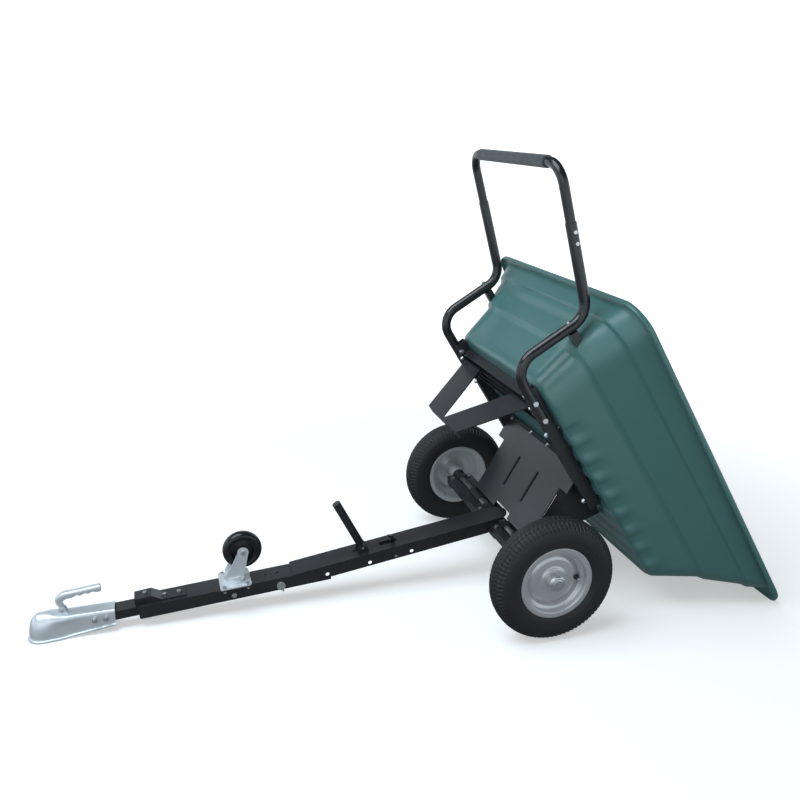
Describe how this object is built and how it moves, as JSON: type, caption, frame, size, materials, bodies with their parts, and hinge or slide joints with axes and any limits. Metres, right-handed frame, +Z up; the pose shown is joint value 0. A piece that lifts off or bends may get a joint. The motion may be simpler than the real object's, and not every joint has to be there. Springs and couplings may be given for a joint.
{
  "type": "tow behind cart",
  "caption": "Tow behind tipping cart with a moulded tub, telescopic push handle, ball coupler drawbar, latch pedal, stowed caster and pneumatic wheels, in its dumped pose.",
  "frame": {"origin": "bottom centre of the whole cart's box, on the ground under it", "axes": "+X rearward to the dumping end, with the drawbar towards -X; +Y across the cart along its axle; +Z up"},
  "size_m": [2.4168, 1.042, 1.4623],
  "materials": {
    "tub_green": "moulded, satin",
    "black_frame": "powder coated, satin",
    "black_handle": "powder coated, gloss",
    "zinc": "bright zinc plated",
    "rim_silver": "silver paint, satin",
    "tyre_rubber": "matte",
    "caster_rubber": "matte",
    "foam": "soft, matte",
    "bolt_zinc": "zinc plated",
    "pin_grey": "matte",
    "axle_steel": "oiled"
  },
  "bodies": {
    "chassis": {"axle_shaft": "axle_steel", "axle_nuts": "bolt_zinc", "axle_bars_left": "black_frame", "axle_bars_right": "black_frame", "axle_straps": "black_frame", "axle_blocks": "black_frame", "axle_bolts": "bolt_zinc", "rear_channel": "black_frame", "latch_ears": "black_frame", "latch_pins": "bolt_zinc", "latch_spring": "bolt_zinc"},
    "left_wheel": {"left_tyre": "tyre_rubber", "left_rim": "rim_silver", "left_bearings": "axle_steel", "left_hub_cap": "bolt_zinc", "left_valve": "caster_rubber"},
    "right_wheel": {"right_tyre": "tyre_rubber", "right_rim": "rim_silver", "right_bearings": "axle_steel", "right_hub_cap": "bolt_zinc", "right_valve": "caster_rubber"},
    "tub": {"tub_shell": "tub_green", "rail_right": "black_frame", "rail_left": "black_frame", "front_cross_member": "black_frame", "rear_cross_member": "black_frame", "v_plate": "black_frame", "pedestal_panel": "black_frame", "pedestal_side_right": "black_frame", "pedestal_side_left": "black_frame", "lower_handle_right": "black_handle", "lower_handle_left": "black_handle", "standoff_right": "black_frame", "standoff_left": "black_frame", "handle_bolts": "bolt_zinc", "floor_bolts": "bolt_zinc"},
    "handle_top": {"upper_handle": "black_handle", "foam_grip": "foam"},
    "drawbar_front": {"front_channel": "black_frame", "coupler_tube": "black_frame", "clamp_bracket": "black_frame", "coupler_body": "zinc", "coupler_ears": "zinc", "drawbar_bolts": "bolt_zinc", "caster_base": "black_frame", "caster_plate": "zinc"},
    "stop_pin": {"drawbar_pin": "pin_grey"},
    "coupler_handle": {"coupler_lever": "zinc"},
    "coupler_clamp": {"coupler_jaw": "zinc"},
    "caster_swivel": {"caster_fork": "zinc", "caster_axle": "bolt_zinc"},
    "caster_roller": {"caster_tread": "caster_rubber", "caster_centre": "caster_rubber"},
    "pedal": {"latch_pedal": "black_frame"},
    "link": {"latch_link": "black_frame"},
    "hook": {"latch_hook": "black_frame"}
  },
  "joints": [
    {"name": "left_wheel_spin", "type": "hinge", "parent": "chassis", "child": "left_wheel", "pos_m": [0.37859, 0, 0.203], "axis": [0, 1, 0], "continuous": true},
    {"name": "right_wheel_spin", "type": "hinge", "parent": "chassis", "child": "right_wheel", "pos_m": [0.37859, 0, 0.203], "axis": [0, 1, 0], "continuous": true},
    {"name": "tub_tip", "type": "hinge", "parent": "chassis", "child": "tub", "pos_m": [0.37859, 0, 0.203], "axis": [0, 1, 0], "range_deg": [-67.1, 0]},
    {"name": "handle_slide", "type": "slide", "parent": "tub", "child": "handle_top", "axis": [-0.258, 0, 0.9662], "range_m": [-0.05, 0.06]},
    {"name": "drawbar_slide", "type": "slide", "parent": "chassis", "child": "drawbar_front", "axis": [-0.9976, 0, -0.0698], "range_m": [-0.014, 0.06]},
    {"name": "stop_pin_slide", "type": "slide", "parent": "drawbar_front", "child": "stop_pin", "axis": [0, -1, 0], "range_m": [0, 0.11]},
    {"name": "coupler_handle_lift", "type": "hinge", "parent": "drawbar_front", "child": "coupler_handle", "pos_m": [-1.09541, 0, 0.087], "axis": [0, -1, 0], "range_deg": [0, 50]},
    {"name": "coupler_clamp_slide", "type": "slide", "parent": "drawbar_front", "child": "coupler_clamp", "axis": [1, 0, 0], "range_m": [0, 0.006]},
    {"name": "caster_turn", "type": "hinge", "parent": "drawbar_front", "child": "caster_swivel", "pos_m": [-0.55689, 0, 0.11801], "axis": [-0.0698, 0, 0.9976], "continuous": true},
    {"name": "caster_roll", "type": "hinge", "parent": "caster_swivel", "child": "caster_roller", "pos_m": [-0.5254, 0, 0.21244], "axis": [0, 1, 0], "continuous": true},
    {"name": "pedal_press", "type": "hinge", "parent": "chassis", "child": "pedal", "pos_m": [-0.12112, 0, 0.1649], "axis": [0, -1, 0], "range_deg": [-20, 0]},
    {"name": "link_swing", "type": "hinge", "parent": "pedal", "child": "link", "pos_m": [-0.11566, 0, 0.12729], "axis": [0, 1, 0], "range_deg": [-17, 0.5]},
    {"name": "hook_swing", "type": "hinge", "parent": "chassis", "child": "hook", "pos_m": [-0.01145, 0, 0.13331], "axis": [0, 1, 0], "range_deg": [-36.5, 0.5]}
  ],
  "couplings": [
    {"joint": "coupler_clamp_slide", "follows": "coupler_handle_lift", "m_per_rad": 0.0063},
    {"joint": "link_swing", "follows": "pedal_press", "ratio": 0.84},
    {"joint": "hook_swing", "follows": "pedal_press", "ratio": 1.8}
  ]
}
